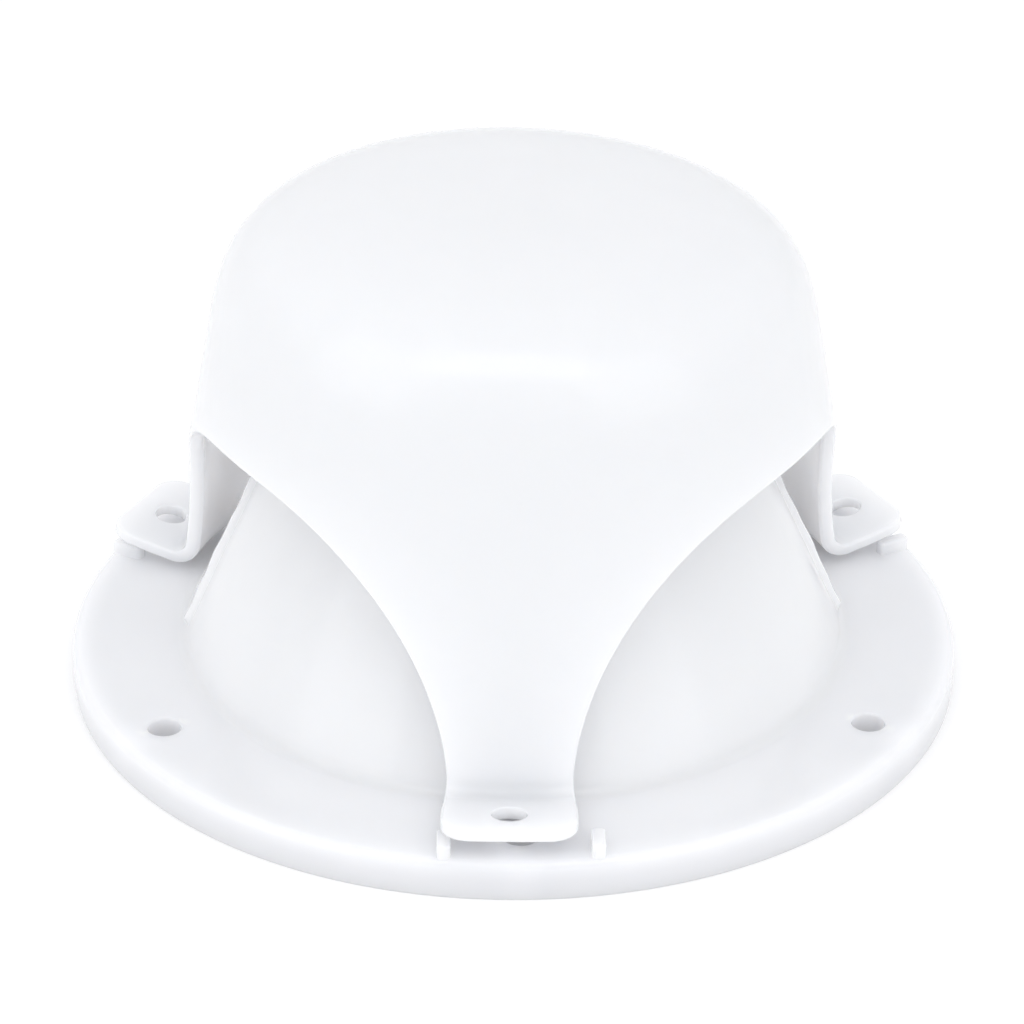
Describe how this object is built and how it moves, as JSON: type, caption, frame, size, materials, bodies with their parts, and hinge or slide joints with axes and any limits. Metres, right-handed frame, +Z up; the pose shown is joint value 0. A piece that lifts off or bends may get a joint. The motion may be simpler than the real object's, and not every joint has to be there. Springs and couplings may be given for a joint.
{
  "type": "cowl vent",
  "caption": "Low deck ventilator: a round flanged base with a hollow conical neck, and a domed cowl cap that stands over the neck on outturned legs, so air passes and spray stays out.",
  "frame": {"origin": "centre of the base flange, on the deck plane under its rim", "axes": "+Z up along the vent's axis, -Y towards the front leg and its foot seat"},
  "size_m": [0.16, 0.16, 0.0916],
  "materials": {
    "base_plastic": "smooth glossy white injection moulding",
    "cap_plastic": "smooth glossy white injection moulding"
  },
  "bodies": {
    "base": {"base_flange": "base_plastic"},
    "cap": {"cowl_cap": "cap_plastic"}
  },
  "joints": [
    {"name": "cap_lift", "type": "slide", "parent": "base", "child": "cap", "axis": [0, 0, 1], "range_m": [0, 0.06]}
  ]
}
